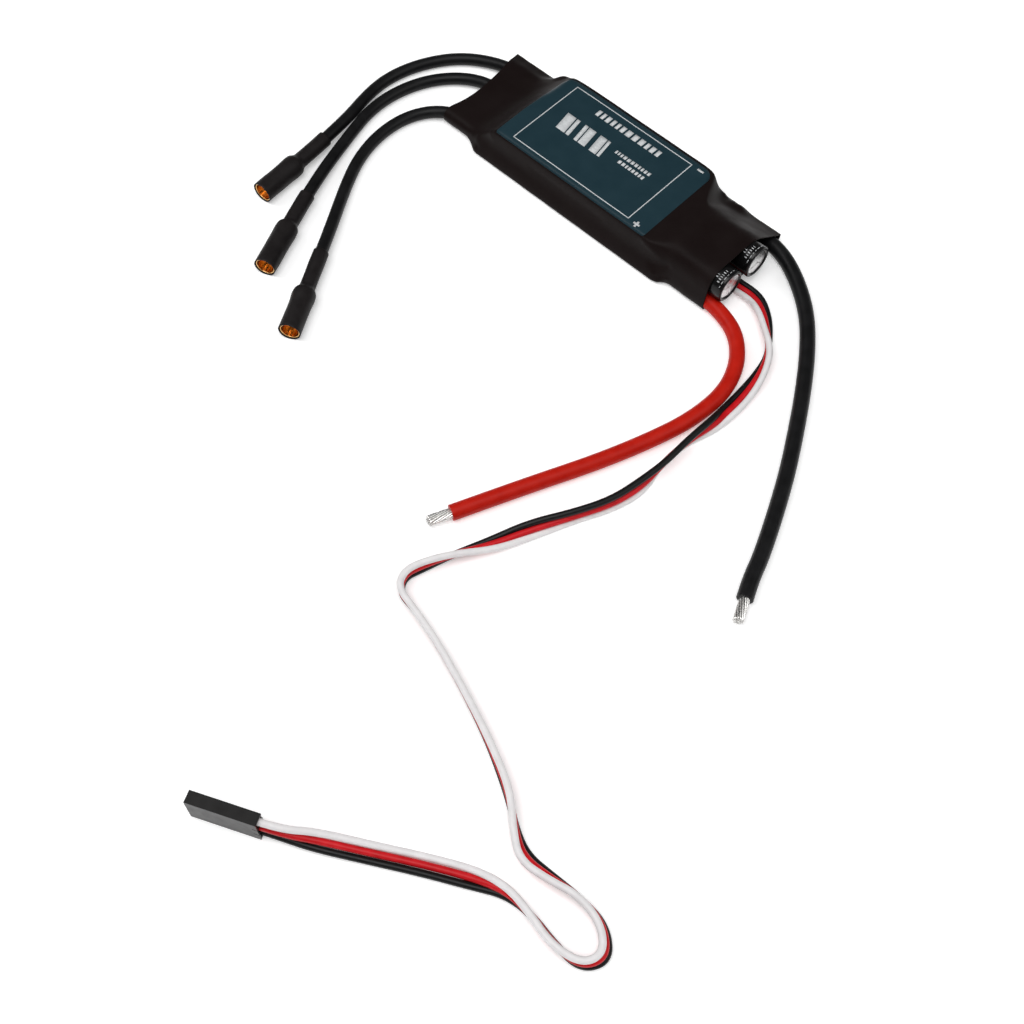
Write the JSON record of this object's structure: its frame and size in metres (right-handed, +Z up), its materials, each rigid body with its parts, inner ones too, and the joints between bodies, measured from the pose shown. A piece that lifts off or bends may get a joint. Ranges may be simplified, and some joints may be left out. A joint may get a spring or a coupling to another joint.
{
  "type": "electronic speed controller",
  "caption": "Brushless motor speed controller in shrunk sleeve with heatsink, capacitors, battery leads, motor leads with bullet sockets, and a servo lead with plug.",
  "frame": {"origin": "on the surface the controller lies on, below the middle of its body without the free leads", "axes": "+X along the body to the battery end, +Y to the negative battery lead, +Z up out of the label"},
  "size_m": [0.1818, 0.1816, 0.0105],
  "materials": {
    "shrink_skin": "satin shrunk polyolefin",
    "label_film": "satin printed film",
    "plate_aluminium": "brushed",
    "gap_pad": "matt silicone",
    "board_laminate": "solder mask",
    "chip_epoxy": "moulded epoxy",
    "chip_ceramic": "fired ceramic",
    "resonator_steel": "stamped",
    "copper": "bare copper, stood in by brass",
    "tinned_pins": "tinned",
    "can_aluminium": "drawn can, scored end",
    "can_print": "printed heat-shrink",
    "bung_rubber": "moulded",
    "winding_paper": "wound foil and paper",
    "solder": "reflowed",
    "red_silicone": "satin silicone",
    "black_silicone": "satin silicone",
    "tinned_strands": "tinned copper strands",
    "gold_plate": "gold-plated",
    "connector_shrink": "matt shrunk polyolefin",
    "servo_white_pvc": "satin PVC",
    "servo_red_pvc": "satin PVC",
    "servo_black_pvc": "satin PVC",
    "plug_moulding": "moulded nylon",
    "contact_plate": "stamped, plated"
  },
  "bodies": {
    "root": {"battery_tip_negative": "tinned_strands", "battery_tip_positive": "tinned_strands", "battery_wire_negative": "black_silicone", "battery_wire_positive": "red_silicone", "bec_regulator_1": "chip_epoxy", "bec_regulator_2": "chip_epoxy", "board_header_pins": "tinned_pins", "bullet_socket_a": "gold_plate", "bullet_socket_b": "gold_plate", "bullet_socket_c": "gold_plate", "bus_bar_negative": "copper", "bus_bar_positive": "copper", "capacitor_bung_1": "bung_rubber", "capacitor_bung_2": "bung_rubber", "capacitor_can_1": "can_aluminium", "capacitor_can_2": "can_aluminium", "capacitor_leads_1": "tinned_pins", "capacitor_leads_2": "tinned_pins", "capacitor_sleeve_1": "can_print", "capacitor_sleeve_2": "can_print", "capacitor_winding_1": "winding_paper", "capacitor_winding_2": "winding_paper", "ceramic_capacitors": "chip_ceramic", "chip_resistors": "chip_ceramic", "connector_sleeve_a": "connector_shrink", "connector_sleeve_b": "connector_shrink", "connector_sleeve_c": "connector_shrink", "control_board": "board_laminate", "gate_driver_a": "chip_epoxy", "gate_driver_b": "chip_epoxy", "gate_driver_c": "chip_epoxy", "heat_shrink_sleeve": "shrink_skin", "heatsink_plate": "plate_aluminium", "label": "label_film", "microcontroller": "chip_epoxy", "mosfet_high_a": "chip_epoxy", "mosfet_high_b": "chip_epoxy", "mosfet_high_c": "chip_epoxy", "mosfet_low_a": "chip_epoxy", "mosfet_low_b": "chip_epoxy", "mosfet_low_c": "chip_epoxy", "motor_wire_a": "black_silicone", "motor_wire_b": "black_silicone", "motor_wire_c": "black_silicone", "power_board": "board_laminate", "resonator": "resonator_steel", "servo_contact_black": "contact_plate", "servo_contact_red": "contact_plate", "servo_contact_white": "contact_plate", "servo_plug_housing": "plug_moulding", "servo_wire_black": "servo_black_pvc", "servo_wire_red": "servo_red_pvc", "servo_wire_white": "servo_white_pvc", "solder_joint_motor_a": "solder", "solder_joint_motor_b": "solder", "solder_joint_motor_c": "solder", "solder_joint_negative": "solder", "solder_joint_positive": "solder", "thermal_pad": "gap_pad"}
  },
  "joints": []
}
